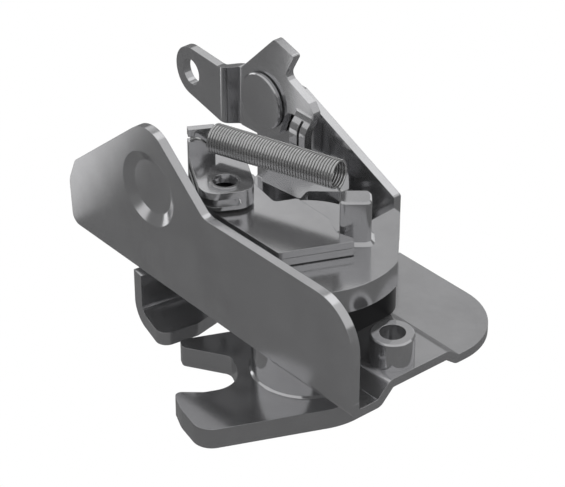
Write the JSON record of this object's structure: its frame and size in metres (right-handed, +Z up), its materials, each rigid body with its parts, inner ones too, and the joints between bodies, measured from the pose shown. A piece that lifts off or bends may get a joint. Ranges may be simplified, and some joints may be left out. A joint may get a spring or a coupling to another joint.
{
  "type": "rotary latch",
  "caption": "Rotary latch on a bent sheet-metal base: a hooked claw turns under it with a cam, held by a pawl that a riveted release lever lifts, with an extension spring.",
  "frame": {"origin": "on the axis of the fixing bore, in the underside of the raised floor", "axes": "+X along the front flange towards the end with the fixing bore, +Y from the front flange to the rear flange, +Z up along the fixing bore and the claw's axis"},
  "size_m": [0.1287, 0.0761, 0.0747],
  "materials": {
    "plated_sheet": "satin",
    "lever_sheet": "satin",
    "turned_steel": "satin",
    "forged_steel": "satin",
    "dark_block": "satin",
    "spring_steel": "satin",
    "rivet_steel": "satin"
  },
  "bodies": {
    "latch_base": {"base_plate": "plated_sheet", "fixing_standoff": "turned_steel", "guide_bracket": "plated_sheet", "shaft_housing": "dark_block", "housing_screws": "rivet_steel", "shaft_bush": "turned_steel", "thrust_washer": "turned_steel", "bridge_lower": "plated_sheet", "bridge_upper": "plated_sheet", "bridge_columns": "turned_steel", "spring_bracket": "plated_sheet", "foot_rivets": "rivet_steel", "leaf_eyelet": "turned_steel", "extension_spring": "spring_steel", "pawl_stud": "turned_steel", "pawl_spacer": "turned_steel", "pawl_clip": "spring_steel", "pawl_spring": "spring_steel", "lever_rivet": "rivet_steel", "lever_washer": "rivet_steel"},
    "rotor": {"claw": "forged_steel", "rotor_shaft": "turned_steel", "claw_washer": "turned_steel", "cam": "forged_steel"},
    "pawl": {"pawl": "forged_steel"},
    "lever": {"release_lever": "lever_sheet"}
  },
  "joints": [
    {"name": "rotor_swing", "type": "hinge", "parent": "latch_base", "child": "rotor", "pos_m": [-0.0325, 0.0005, 0], "axis": [0, 0, 1], "range_deg": [0, 30], "deforming": ["extension_spring"]},
    {"name": "release_lever_swing", "type": "hinge", "parent": "latch_base", "child": "lever", "pos_m": [-0.0853, 0.03285, 0.0283], "axis": [0, 1, 0], "range_deg": [-20, 0]},
    {"name": "pawl_swing", "type": "hinge", "parent": "latch_base", "child": "pawl", "pos_m": [-0.0579, 0.0265, 0], "axis": [0, 0, 1], "range_deg": [-5.5, 0]}
  ],
  "couplings": [
    {"joint": "pawl_swing", "follows": "release_lever_swing", "ratio": 0.275}
  ]
}
